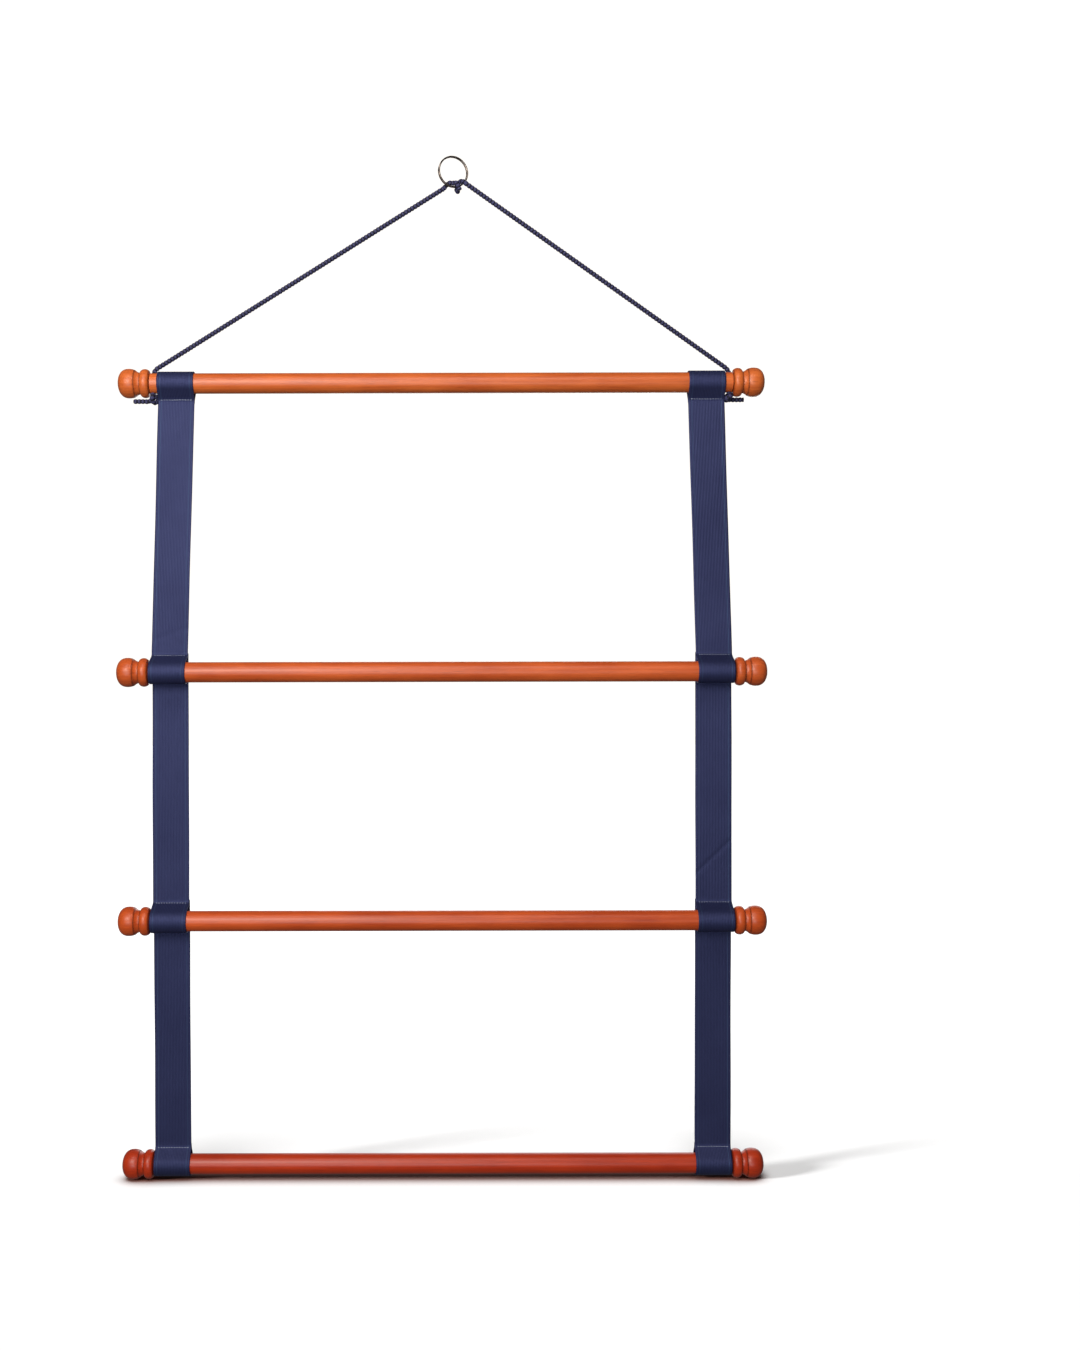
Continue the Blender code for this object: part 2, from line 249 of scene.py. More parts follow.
# Each hitch, from its cut end to where the cord leaves the ring: along, back and up
HITCH_LINES = {
    "left": [
        (0.0070, -0.0037, -0.0048), (0.0067, -0.0036, -0.0034), (0.0052, -0.0031, 0.0006),
        (0.0030, -0.0018, 0.0037), (-0.0005, 0.0004, 0.0040), (-0.0045, 0.0015, 0.0044),
        (-0.0080, 0.0023, 0.0016),
    ],
    "right": [
        (0.0054, 0.0018, -0.0048), (0.0048, 0.0032, -0.0040), (0.0040, 0.0056, -0.0016),
        (0.0042, 0.0060, 0.0020), (0.0060, 0.0034, 0.0052), (0.0086, 0.0012, 0.0062),
        (0.0112, -0.0012, 0.0052),
    ],
}
# Each stopper knot, from inside the rail to where its tail starts: outwards, back and up
KNOT_LINES = {
    "left": [
        (0, 0, -0.0060), (0, -0.0012, -0.0112), (0.0002, -0.0048, -0.0140),
        (0.0004, -0.0054, -0.0178), (-0.0006, -0.0024, -0.0212), (-0.0034, 0.0018, -0.0200),
        (-0.0052, 0.0020, -0.0166), (-0.0044, 0.0002, -0.0144), (-0.0012, 0.0008, -0.0152),
        (0.0020, 0.0006, -0.0174),
    ],
    "right": [
        (0, 0, -0.0060), (0, 0.0006, -0.0112), (-0.0012, 0.0026, -0.0140),
        (-0.0038, 0.0004, -0.0166), (-0.0020, -0.0032, -0.0180), (0.0016, -0.0030, -0.0150),
        (0.0022, 0.0010, -0.0134), (0.0002, 0.0044, -0.0156), (-0.0018, 0.0074, -0.0180),
    ],
}

ring_low, ring_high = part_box("hanging_ring")
ring_middle = (ring_low + ring_high) / 2
ring_outer_r = (ring_high.x - ring_low.x) / 2
ring_mid_r = ring_outer_r - (ring_high.y - ring_low.y) / 2
ring_foot = ring_middle - Vector((0, 0, ring_mid_r))
rod_low, rod_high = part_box("top_rail_rod")
rod_r = (rod_high.z - rod_low.z) / 2
top_axis = (rod_low + rod_high) / 2


def braided_cord_finish():
    """Matt navy yarn, with painted shade down in the grooves of the braid."""
    material, nodes, links = new_material("navy_braided_cord")
    shader = nodes["Principled BSDF"]
    set_inputs(shader, {"Roughness": 0.62, "Specular IOR Level": 0.3})
    set_inputs(shader, {"Sheen Weight": 0.10, "Sheen Roughness": 0.4})
    # Painted shade: the lower the braid's surface lies between its crowns, the darker it is
    # painted
    crown = nodes.new("ShaderNodeAttribute")
    crown.attribute_name = "crown"
    groove_shade = ramp(nodes, 0.50, GROOVE_SHADE, 1.0, CORD_COLOUR)
    links.new(crown.outputs["Fac"], groove_shade.inputs["Fac"])
    place = nodes.new("ShaderNodeTexCoord")
    fibres = nodes.new("ShaderNodeTexNoise")
    set_inputs(fibres, {"Scale": 1500, "Detail": 3})
    links.new(place.outputs["Object"], fibres.inputs["Vector"])
    flecks = nodes.new("ShaderNodeMix")
    flecks.data_type = "RGBA"
    flecks.blend_type = "MULTIPLY"
    flecks.inputs["Factor"].default_value = 0.5
    links.new(groove_shade.outputs["Color"], flecks.inputs["A"])
    links.new(fibres.outputs["Color"], flecks.inputs["B"])
    links.new(flecks.outputs["Result"], shader.inputs["Base Color"])
    bump = nodes.new("ShaderNodeBump")
    set_inputs(bump, {"Strength": 0.5, "Distance": 0.0001})
    links.new(fibres.outputs["Fac"], bump.inputs["Height"])
    links.new(bump.outputs["Normal"], shader.inputs["Normal"])
    return material


cord_material = braided_cord_finish()


def even_points(points, step):
    """Points a step apart along the smooth curve through these points."""
    points = np.array([tuple(p) for p in points])
    knots = np.r_[0, np.cumsum(np.linalg.norm(np.diff(points, axis=0), axis=1) ** 0.5)]
    slopes = np.gradient(points, knots, axis=0)
    fine = []
    for i in range(len(points) - 1):
        span = knots[i + 1] - knots[i]
        count = max(4, int(np.linalg.norm(points[i + 1] - points[i]) / step) + 1)
        t = np.linspace(0, 1, count, endpoint=False)[:, None]
        fine.append(
            (2 * t**3 - 3 * t**2 + 1) * points[i]
            + (t**3 - 2 * t**2 + t) * span * slopes[i]
            + (3 * t**2 - 2 * t**3) * points[i + 1]
            + (t**3 - t**2) * span * slopes[i + 1]
        )
    fine = np.vstack([*fine, points[-1:]])
    along = np.r_[0, np.cumsum(np.linalg.norm(np.diff(fine, axis=0), axis=1))]
    even = np.linspace(0, along[-1], int(along[-1] / step) + 1)
    return np.column_stack([np.interp(even, along, fine[:, k]) for k in range(3)])


def carried_frames(line):
    """Two directions across a line at each of its points, carried along without a twist."""
    tangents = np.gradient(line, axis=0)
    tangents /= np.linalg.norm(tangents, axis=1)[:, None]
    side = np.cross(tangents[0], (0.0, 1.0, 0.0))
    sides = []
    for tangent in tangents:
        side = side - tangent * (side @ tangent)
        side = side / np.linalg.norm(side)
        sides.append(side)
    sides = np.array(sides)
    return sides, np.cross(tangents, sides)


def strand_height(place, weaving):
    """Height of one family of strands, which lie at whole steps of place."""
    round_back = np.sqrt(1 - STRAND_ROUNDNESS * (2 * (place % 1) - 1) ** 2)
    return STRAND_SHARE * round_back + (1 - STRAND_SHARE) * weaving


def braid_height(u, v):
    """Height of a round plain braid, from 0 in its grooves to 1 on its crowns."""
    over = np.cos(np.pi * v + np.pi * np.floor(u))
    under = np.cos(np.pi * u + np.pi * np.floor(v) + np.pi)
    return np.clip(np.maximum(strand_height(u, over), strand_height(v, under)), 0, 1)


def face_outwards(piece):
    """Leaves one piece selected, with all its faces turned outwards."""
    bpy.ops.object.select_all(action="DESELECT")
    bpy.context.view_layer.objects.active = piece
    piece.select_set(True)
    bpy.ops.object.mode_set(mode="EDIT")
    bpy.ops.mesh.select_all(action="SELECT")
    bpy.ops.mesh.normals_make_consistent(inside=False)
    bpy.ops.object.mode_set(mode="OBJECT")


def tube(name, rings):
    """A closed tube through an array of rings of points."""
    places = np.arange(rings.shape[0] * rings.shape[1]).reshape(rings.shape[:2])
    beside = np.roll(places, -1, axis=1)
    quads = np.stack([places[:-1], beside[:-1], beside[1:], places[1:]], axis=2).reshape(-1, 4)
    faces = [*quads.tolist(), places[0][::-1].tolist(), places[-1].tolist()]
    mesh = bpy.data.meshes.new(name)
    mesh.from_pydata(rings.reshape(-1, 3).tolist(), [], faces)
    piece = bpy.data.objects.new(name, mesh)
    bpy.context.scene.collection.objects.link(piece)
    face_outwards(piece)
    return piece


def braided(name, line):
    """A length of braided cord along evenly spaced points, closed at both ends."""
    sides, ups = carried_frames(line)
    angles = np.arange(BRAID_SEGMENTS) * math.tau / BRAID_SEGMENTS
    along = np.arange(len(line)) * np.linalg.norm(line[1] - line[0]) / STRAND_REPEAT
    turn = angles[None, :] * STRANDS_EACH_WAY / math.tau
    height = braid_height(turn + along[:, None], turn - along[:, None])
    radii = CORD_R - BRAID_RELIEF * (1 - height)
    radii[0] *= SEALED_END
    radii[-1] *= SEALED_END
    across = np.cos(angles)[None, :, None] * sides[:, None]
    across = across + np.sin(angles)[None, :, None] * ups[:, None]
    piece = tube(name, line[:, None] + radii[:, :, None] * across)
    bpy.ops.object.shade_smooth()
    crown = piece.data.attributes.new("crown", "FLOAT", "POINT")
    crown.data.foreach_set("value", height.ravel().astype(np.float32))
    piece.data.materials.append(cord_material)
    return piece


def cord_route(side, sign, hole):
    """Middle line of one side's cord, from its hitch straight to the rail, round an easy
    bend and down through the hole."""
    bend_middle = Vector((hole - sign * CORD_BEND_R, 0, top_axis.z + BEND_ABOVE_AXIS))
    start = ring_foot + Vector(RUN_STARTS[side])
    reach = Vector((start.x - bend_middle.x, 0, start.z - bend_middle.z))
    level = math.atan2(reach.z, -sign * reach.x)
    turn = math.pi - level - math.acos(CORD_BEND_R / reach.length)
    bend = []
    for i in range(BEND_STEPS + 1):
        angle = turn * (1 - i / BEND_STEPS)
        out = Vector((sign * math.cos(angle), 0, math.sin(angle)))
        bend.append(bend_middle + CORD_BEND_R * out)
    run = [start.lerp(bend[0], i / RUN_STEPS) for i in range(RUN_STEPS)]
    foot = Vector((hole, 0, top_axis.z - rod_r))
    drop = [bend[-1].lerp(foot, i / DROP_STEPS) for i in range(1, DROP_STEPS + 1)]
    return run + bend + drop


cord_holes = {}
for side, sign in SIDES:
    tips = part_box(f"top_rail_{side}_finial")
    hole = (tips[0].x if sign < 0 else tips[1].x) - sign * HOLE_FROM_TIP
    cord_holes[side] = hole
    route = even_points(cord_route(side, sign, hole), BRAID_STEP)
    run = braided(f"{side}_braided_cord", route)
    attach(run, "bridle")
    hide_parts(f"{side}_cord")

    wrap = [ring_foot + Vector(p) for p in HITCH_LINES[side]]
    wrap += [Vector(route[0]), Vector(route[HITCH_LAP])]
    hitch = braided(f"{side}_hitch_on_ring", even_points(wrap, BRAID_STEP))
    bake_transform(hitch)
    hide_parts(f"{side}_ring_hitch")

    tail_low, tail_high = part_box(f"{side}_cord_tail")
    tail_middle = (tail_low + tail_high) / 2 + Vector((0, 0, TAIL_LIFT))
    tail_start = tail_low.x if sign > 0 else tail_high.x
    tie = []
    for out, back, up in KNOT_LINES[side]:
        tie.append(Vector((hole + sign * out, back, top_axis.z + up)))
    for i in range(TAIL_STEPS + 1):
        reach = sign * TAIL_LENGTH * i / TAIL_STEPS
        tie.append(Vector((tail_start + reach, tail_middle.y, tail_middle.z)))
    knot = braided(f"{side}_knot_and_tail", even_points(tie, BRAID_STEP))
    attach(knot, "bridle")
    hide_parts(f"{side}_stopper_knot", f"{side}_cord_tail")

    length = float(np.linalg.norm(np.diff(route, axis=0), axis=1).sum())


# ---------------------------------------------------------------- hanging ring
# A split ring of round nickel-plated steel wire: two coils side by side, sprung together,
# with the wire stepping across from one to the other at the left.

COIL_R = 0.0009  # the wire's own radius
COIL_OUT = 0.0002
COIL_SPACING = 1.01  # half the distance from coil to coil, in wire radii
COILS = 2
COIL_STEPS = 100
OPEN_STEPS = 3  # how far the wire stops short of its own start
STEP_ANGLE = math.radians(168)
STEP_SPAN = math.radians(26)
END_ANGLE = math.radians(140)
WIRE_SIDES = 18
RING_TURN = math.radians(20)  # the ring hangs a little turned, its left side forwards
PLATE_DARK = (0.10, 0.075, 0.065)
PLATE_LIGHT = (0.36, 0.31, 0.28)


def nickel_plate_finish():
    """Thin nickel plate, cloudy and worn."""
    material, nodes, links = new_material("nickel_plate")
    shader = nodes["Principled BSDF"]
    shader.inputs["Metallic"].default_value = 1.0
    place = nodes.new("ShaderNodeTexCoord")
    cloudy = nodes.new("ShaderNodeTexNoise")
    set_inputs(cloudy, {"Scale": 180, "Detail": 4})
    links.new(place.outputs["Object"], cloudy.inputs["Vector"])
    plate_colour = ramp(nodes, 0.3, PLATE_DARK, 0.7, PLATE_LIGHT)
    links.new(cloudy.outputs["Fac"], plate_colour.inputs["Fac"])
    links.new(plate_colour.outputs["Color"], shader.inputs["Base Color"])
    wear = nodes.new("ShaderNodeMapRange")
    set_inputs(wear, {"To Min": 0.16, "To Max": 0.34})
    links.new(cloudy.outputs["Fac"], wear.inputs["Value"])
    links.new(wear.outputs["Result"], shader.inputs["Roughness"])
    return material


turned = Matrix.Rotation(RING_TURN, 3, "Z")
wire_rings = []
for i in range(COILS * COIL_STEPS - OPEN_STEPS):
    angle = END_ANGLE + math.tau * i / COIL_STEPS
    share = min(max((angle - math.tau - STEP_ANGLE) / STEP_SPAN + 0.5, 0), 1)
    depth = COIL_R * COIL_SPACING * (2 * share * share * (3 - 2 * share) - 1)
    radial = Vector((math.cos(angle), 0, math.sin(angle)))
    middle = radial * (ring_mid_r + COIL_OUT) + Vector((0, depth, 0))
    wire_ring = []
    for k in range(WIRE_SIDES):
        turn = math.tau * k / WIRE_SIDES
        off = COIL_R * (radial * math.cos(turn) + Vector((0, math.sin(turn), 0)))
        wire_ring.append(turned @ (middle + off) + ring_middle)
    wire_rings.append(wire_ring)
ring = tube("wire_ring", np.array(wire_rings))
bpy.ops.object.shade_smooth_by_angle(angle=math.radians(50))
ring.data.materials.append(nickel_plate_finish())
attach(ring, "hook_ring")
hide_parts("hanging_ring")


# ---------------------------------------------------------------- turned rails
# Each rail is a dowel with a turned finial glued on each end: a ball, a cove and a bead,
# with fine lines cut by the tip of the tool. They are stained and then lacquered.

LATHE_SEGMENTS = 64
POLE_R = 0.0004  # the last ring at the bottom of a bore

# Along a finial from its tip
FINIAL_LENGTH = 0.0355
BALL_R = 0.0160
BALL_AT = 0.0121  # the ball's widest circle
BALL_BACK = 0.0150  # how far behind it the ball's curve would close
BALL_END = 0.0187
BALL_FULLNESS = 2.35  # 2 is round, and more is squarer
BALL_BACK_FULLNESS = 2.2
BALL_BACK_STEPS = 7
COVE_END = 0.0245
COVE_R = 0.0118
COVE_STEPS = 6
BEAD_AT = 0.0298
BEAD_R = 0.0157
BEAD_END = 0.0350
BEAD_FULLNESS = 0.9
LINE_DEPTH = 0.0006  # the cut lines
LINE_HALF = 0.0003
TENON_R = 0.0060
TENON_LENGTH = 0.0180
TENON_CLEAR = 0.0003
GLUE_GAP = 0.0003
ROD_EASE = 0.0005
ROD_STEPS = 12

STAIN_DARK = (0.66, 0.52, 0.40)  # the stain's range, as shares of a rail's own colour
STAIN_LIGHT = (1.16, 1.42, 1.70)
# The finials are darker along their cut lines: that colour, how wide the darkening spreads, and
# how strong it is
CUT_LINE_DARK = (0.07, 0.012, 0.004)
CUT_LINE_SPREAD = 0.0007
CUT_LINE_SHARE = 0.6
# Each rail: its body, its colour, which is darker and redder from the top rail down to the
# bottom one, and which part of the grain it is cut from
RAILS = {
    "top": ("bridle", (0.76, 0.142, 0.022), (0.0, 0.0, 0.0)),
    "second": ("second_rail", (0.73, 0.110, 0.016), (3.1, 7.7, 1.3)),
    "third": ("third_rail", (0.71, 0.088, 0.010), (9.4, 2.2, 5.8)),
    "bottom": ("bottom_rail", (0.63, 0.040, 0.003), (5.6, 4.1, 8.9)),
}


def turn_on_lathe(name, outline):
    """A solid turned about the X axis, from an outline of (along, radius) points."""
    bpy.ops.object.select_all(action="DESELECT")
    first, first_r = outline[0]
    bpy.ops.mesh.primitive_circle_add(
        vertices=LATHE_SEGMENTS,
        radius=first_r,
        fill_type="NGON",
        location=(first, 0, 0),
        rotation=(0, math.radians(90), 0),
    )
    solid = bpy.context.object
    solid.name = name
    bpy.ops.object.transform_apply(location=True, rotation=True)
    bpy.ops.object.mode_set(mode="EDIT")
    bpy.ops.mesh.select_all(action="SELECT")
    for (last, last_r), (now, now_r) in zip(outline, outline[1:]):
        bpy.ops.mesh.extrude_region_move(TRANSFORM_OT_translate={"value": (now - last, 0, 0)})
        grow = now_r / last_r
        bpy.ops.transform.resize(value=(1, grow, grow), center_override=(now, 0, 0))
    bpy.ops.object.mode_set(mode="OBJECT")
    face_outwards(solid)
    bpy.ops.object.shade_smooth_by_angle(angle=math.radians(40))
    return solid


def finial_outline():
    outline = []
    for degrees in (3, 10, *range(18, 91, 8)):
        share = math.sin(math.radians(degrees))
        rounded = (1 - share**BALL_FULLNESS) ** (1 / BALL_FULLNESS)
        outline.append((BALL_AT * (1 - rounded), BALL_R * share))
    for i in range(1, BALL_BACK_STEPS + 1):
        along = (BALL_END - BALL_AT) * i / BALL_BACK_STEPS
        rounded = (1 - (along / BALL_BACK) ** BALL_BACK_FULLNESS) ** (1 / BALL_BACK_FULLNESS)
        outline.append((BALL_AT + along, BALL_R * rounded))
    ball_end_r = outline[-1][1]
    outline.append((BALL_END + LINE_HALF, ball_end_r - LINE_DEPTH))
    cove_start = BALL_END + 2 * LINE_HALF
    cove_start_r = ball_end_r - LINE_DEPTH / 2
    outline.append((cove_start, cove_start_r))
    for i in range(1, COVE_STEPS + 1):
        share = i / COVE_STEPS
        along = cove_start + (COVE_END - cove_start) * share
        outline.append((along, COVE_R + (cove_start_r - COVE_R) * (1 - share) ** 2))
    outline.append((COVE_END + LINE_HALF, COVE_R - LINE_DEPTH / 2))
    for degrees in range(166, 13, -14):
        turn = math.radians(degrees)
        half = BEAD_AT - COVE_END - LINE_HALF if degrees > 90 else BEAD_END - BEAD_AT
        radius = COVE_R + (BEAD_R - COVE_R) * math.sin(turn) ** BEAD_FULLNESS
        outline.append((BEAD_AT + half * math.cos(turn), radius))
    outline.append((BEAD_END, rod_r - LINE_DEPTH / 2))
    face = FINIAL_LENGTH - GLUE_GAP
    bore_end = FINIAL_LENGTH - TENON_LENGTH - TENON_CLEAR
    bore_r = TENON_R + TENON_CLEAR
    return outline + [(face, rod_r), (face, bore_r), (bore_end, bore_r), (bore_end, POLE_R)]


def rod_outline(half):
    """A rod with a round tenon on each end, its arrises eased, from one end to the other."""
    tip = half + TENON_LENGTH
    shoulder = half - ROD_EASE
    left = [
        (-tip, TENON_R - ROD_EASE),
        (-tip + ROD_EASE, TENON_R),
        (-half, TENON_R),
        (-half, rod_r - ROD_EASE),
        (-shoulder, rod_r),
    ]
    body = [(-shoulder + 2 * shoulder * i / ROD_STEPS, rod_r) for i in range(1, ROD_STEPS)]
    return left + body + [(-along, radius) for along, radius in reversed(left)]


def darken_cut_lines(finial):
    """Darkens the finial along the lines that the tool cut. The outline starts at the finial's
    tip.
    """
    along = np.zeros(len(finial.data.vertices) * 3)
    finial.data.vertices.foreach_get("co", along)
    along = along[::3]
    line_darkening = np.zeros(len(along))
    for line in (BALL_END + LINE_HALF, COVE_END + LINE_HALF, BEAD_END):
        line_darkening += np.exp(-(((along - line) / CUT_LINE_SPREAD) ** 2))
    # The stain attribute holds how much darker each point is along the cut lines
    stain = finial.data.attributes.new("stain", "FLOAT", "POINT")
    stain.data.foreach_set("value", (CUT_LINE_SHARE * line_darkening).astype(np.float32))


def grain_group():
    """Stained grain along X: a Colour between two stains, a Roughness and a Height."""
    group = bpy.data.node_groups.new("stained_grain", "ShaderNodeTree")
    taken = {"Dark": "NodeSocketColor", "Light": "NodeSocketColor", "Offset": "NodeSocketVector"}
    given_out = {
        "Colour": "NodeSocketColor",
        "Roughness": "NodeSocketFloat",
        "Height": "NodeSocketFloat",
    }
    for name, kind in taken.items():
        group.interface.new_socket(name, in_out="INPUT", socket_type=kind)
    for name, kind in given_out.items():
        group.interface.new_socket(name, in_out="OUTPUT", socket_type=kind)
    add, join = group.nodes.new, group.links.new
    given = add("NodeGroupInput")
    result = add("NodeGroupOutput")
    place = add("ShaderNodeTexCoord")

    def noise(stretch, detail):
        mapping = add("ShaderNodeMapping")
        mapping.inputs["Scale"].default_value = stretch
        texture = add("ShaderNodeTexNoise")
        set_inputs(texture, {"Scale": 1.0, "Detail": detail})
        join(place.outputs["Object"], mapping.inputs["Vector"])
        join(given.outputs["Offset"], mapping.inputs["Location"])
        join(mapping.outputs["Vector"], texture.inputs["Vector"])
        return texture.outputs["Fac"]

    def worked(operation, first, second):
        node = add("ShaderNodeMath")
        node.operation = operation
        for socket, value in zip(node.inputs, (first, second)):
            if isinstance(value, float):
                socket.default_value = value
            else:
                join(value, socket)
        return node.outputs[0]

    def mixed(first, first_share, second, second_share):
        return worked(
            "ADD",
            worked("MULTIPLY", first, first_share),
            worked("MULTIPLY", second, second_share),
        )

    fibres = noise((14, 420, 420), 5)
    mottle = noise((16, 40, 40), 3)
    pores = noise((60, 1500, 1500), 2)
    tone = add("ShaderNodeMapRange")
    set_inputs(tone, {"From Min": 0.25, "From Max": 0.72})
    join(mixed(fibres, 0.45, mottle, 0.55), tone.inputs["Value"])
    stain = add("ShaderNodeMix")
    stain.data_type = "RGBA"
    join(tone.outputs["Result"], stain.inputs["Factor"])
    join(given.outputs["Dark"], stain.inputs["A"])
    join(given.outputs["Light"], stain.inputs["B"])
    pore_mask = add("ShaderNodeMapRange")
    set_inputs(pore_mask, {"From Min": 0.30, "From Max": 0.42, "To Min": 0.80})
    join(pores, pore_mask.inputs["Value"])
    filled = add("ShaderNodeMix")
    filled.data_type = "RGBA"
    filled.blend_type = "MULTIPLY"
    filled.inputs["Factor"].default_value = 1.0
    join(stain.outputs["Result"], filled.inputs["A"])
    join(pore_mask.outputs["Result"], filled.inputs["B"])
    join(filled.outputs["Result"], result.inputs["Colour"])
    join(worked("ADD", worked("MULTIPLY", mottle, 0.20), 0.36), result.inputs["Roughness"])
    join(mixed(fibres, 0.6, pores, 0.4), result.inputs["Height"])
    return group


stained_grain = grain_group()


def stained_wood(name, colour, offset):
    """Lacquer over a stain that varies along the grain, darker along the cut lines."""
    material, nodes, links = new_material(name)
    shader = nodes["Principled BSDF"]
    set_inputs(shader, {"Coat Weight": 0.65, "Specular IOR Level": 0.3, "Coat Roughness": 0.34})
    grain = nodes.new("ShaderNodeGroup")
    grain.node_tree = stained_grain
    for socket, shares in (("Dark", STAIN_DARK), ("Light", STAIN_LIGHT)):
        stain = [c * share for c, share in zip(colour, shares)]
        grain.inputs[socket].default_value = (*stain, 1)
    grain.inputs["Offset"].default_value = offset
    line_darkening = nodes.new("ShaderNodeAttribute")
    line_darkening.attribute_name = "stain"
    darker = nodes.new("ShaderNodeMix")
    darker.data_type = "RGBA"
    links.new(line_darkening.outputs["Fac"], darker.inputs["Factor"])
    links.new(grain.outputs["Colour"], darker.inputs["A"])
    darker.inputs["B"].default_value = (*CUT_LINE_DARK, 1)
    links.new(darker.outputs["Result"], shader.inputs["Base Color"])
    links.new(grain.outputs["Roughness"], shader.inputs["Roughness"])
    bump = nodes.new("ShaderNodeBump")
    set_inputs(bump, {"Strength": 0.12, "Distance": 0.0002})
    links.new(grain.outputs["Height"], bump.inputs["Height"])
    links.new(bump.outputs["Normal"], shader.inputs["Normal"])
    return material


rail_woods = {rail: stained_wood(f"{rail}_rail_wood", *look[1:]) for rail, look in RAILS.items()}


def copy_of(pattern):
    piece = pattern.copy()
    piece.data = pattern.data.copy()
    bpy.context.scene.collection.objects.link(piece)
    return piece


def drill_cord_holes(rod, middle):
    for side, hole in cord_holes.items():
        bpy.ops.mesh.primitive_cylinder_add(
            vertices=32,
            radius=CORD_HOLE_R,
            depth=4 * rod_r,
            location=(hole, middle.y, middle.z),
        )
        drill = bpy.context.object
        drilled = rod.modifiers.new(f"{side}_cord_hole", "BOOLEAN")
        drilled.object = drill
        drilled.operation = "DIFFERENCE"
        bpy.context.view_layer.objects.active = rod
        bpy.ops.object.modifier_apply(modifier=drilled.name)
        bpy.data.objects.remove(drill)


def rail_middle(rail):
    low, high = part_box(f"{rail}_rail_rod")
    return (low + high) / 2


def on_rail(solid, name, replaced, rail):
    solid.name = name
    solid.data.name = name
    solid.data.materials.clear()
    solid.data.materials.append(rail_woods[rail])
    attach(solid, RAILS[rail][0])
    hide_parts(replaced)


left_finial = turn_on_lathe("finial", finial_outline())
darken_cut_lines(left_finial)
rod_half = top_axis.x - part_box("top_rail_left_finial")[0].x - FINIAL_LENGTH
plain_rod = turn_on_lathe("rod", rod_outline(rod_half))

for rail in RAILS:
    middle = rail_middle(rail)
    rod = copy_of(plain_rod)
    rod.data.transform(Matrix.Translation(middle))
    if rail == "top":
        drill_cord_holes(rod, middle)
    on_rail(rod, f"{rail}_rail_dowel", f"{rail}_rail_rod", rail)
    for side, sign in SIDES:
        finial_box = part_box(f"{rail}_rail_{side}_finial")
        tip = finial_box[0].x if sign < 0 else finial_box[1].x
        finial = copy_of(left_finial)
        if sign > 0:
            finial.data.transform(Matrix.Diagonal((-1, 1, 1, 1)))
            finial.data.flip_normals()
        finial.data.transform(Matrix.Translation((tip, middle.y, middle.z)))
        on_rail(finial, f"{rail}_{side}_turned_finial", f"{rail}_rail_{side}_finial", rail)

for pattern in (left_finial, plain_rod):
    bpy.data.objects.remove(pattern)


# ---------------------------------------------------------------- webbing straps
# Each side is one length of ribbed navy webbing, 40 mm wide. It goes over the top rail, and
# it is folded back on itself and sewn across to make a loop for each lower rail.

WEB_WIDTH = 0.0400
WEB_T = 0.0015
LAYER = WEB_T + 0.0003  # from one sewn layer to the next
LOOP_R = rod_r + 0.0004 + WEB_T / 2  # the webbing's middle, with a little room for the rod
SEAM_TO_AXIS = 0.0185
HINGE_RISE = 0.0060
FOLD_RISE = 0.0015
WEB_TAIL = 0.0035
CORNER_EASE = 0.0030
CORNER_SHARE = 0.45  # the most of either side that a corner's curve takes
CORNER_STEPS = 5
PATH_STEP = 0.0022
LEAST_STEP = 0.00005
LOOP_LENGTH = 0.090  # webbing in a lower loop and its fold, before it hangs free
ALL_LOOP = 1.0  # more than the bottom section's length, so that none of it hangs free
RIBS = 24
RIB_QUADS = 4
RIB_THICKNESS = {0: 1.0, 1: 0.91, 2: 0.82, 3: 0.91}
SELVEDGE_THICKNESS = (0.35, 0.72, 0.9)
WAVE_HEIGHT = 0.0005
WAVE_LENGTH = 0.155
TWIST_HEIGHT = 0.0009
TWIST_LENGTH = 0.31
# Faint diagonal creases: along the webbing from the section's lower end, slant, and depth
CREASES = {
    "left_webbing_upper": (0.0180, 0.36, 0.0003),
    "right_webbing_middle": (0.0440, 0.95, 0.0005),
    "right_webbing_lower": (0.2350, -0.40, 0.0003),
}
CREASE_WIDTH = 0.0030
PICK_LENGTH = 0.0012  # from one weft thread to the next
GUIDE_LINE_AT = 0.0162  # a woven line near each edge, from the webbing's middle
GUIDE_LINE_HALF = 0.0006
NAVY_DARK = (0.023, 0.028, 0.092)
NAVY_LIGHT = (0.044, 0.054, 0.150)
GUIDE_LINE_COLOUR = (0.060, 0.110, 0.230)

rail_axes = {rail: tuple(rail_middle(rail).yz) for rail in RAILS}  # as (back, up)
rod_below = HINGE_RISE + SEAM_TO_AXIS
rod_forward = LOOP_R - LAYER
# The lines that the straps bend on, as (back, up): one above each lower loop
bends = [
    (rail_axes["second"][0] + rod_forward, rail_axes["second"][1] + rod_below),
    (rail_axes["third"][0] + rod_forward, rail_axes["third"][1] + rod_below),
    (rail_axes["bottom"][0], rail_axes["bottom"][1] + rod_below),
]
top_seam = rail_axes["top"][1] - SEAM_TO_AXIS


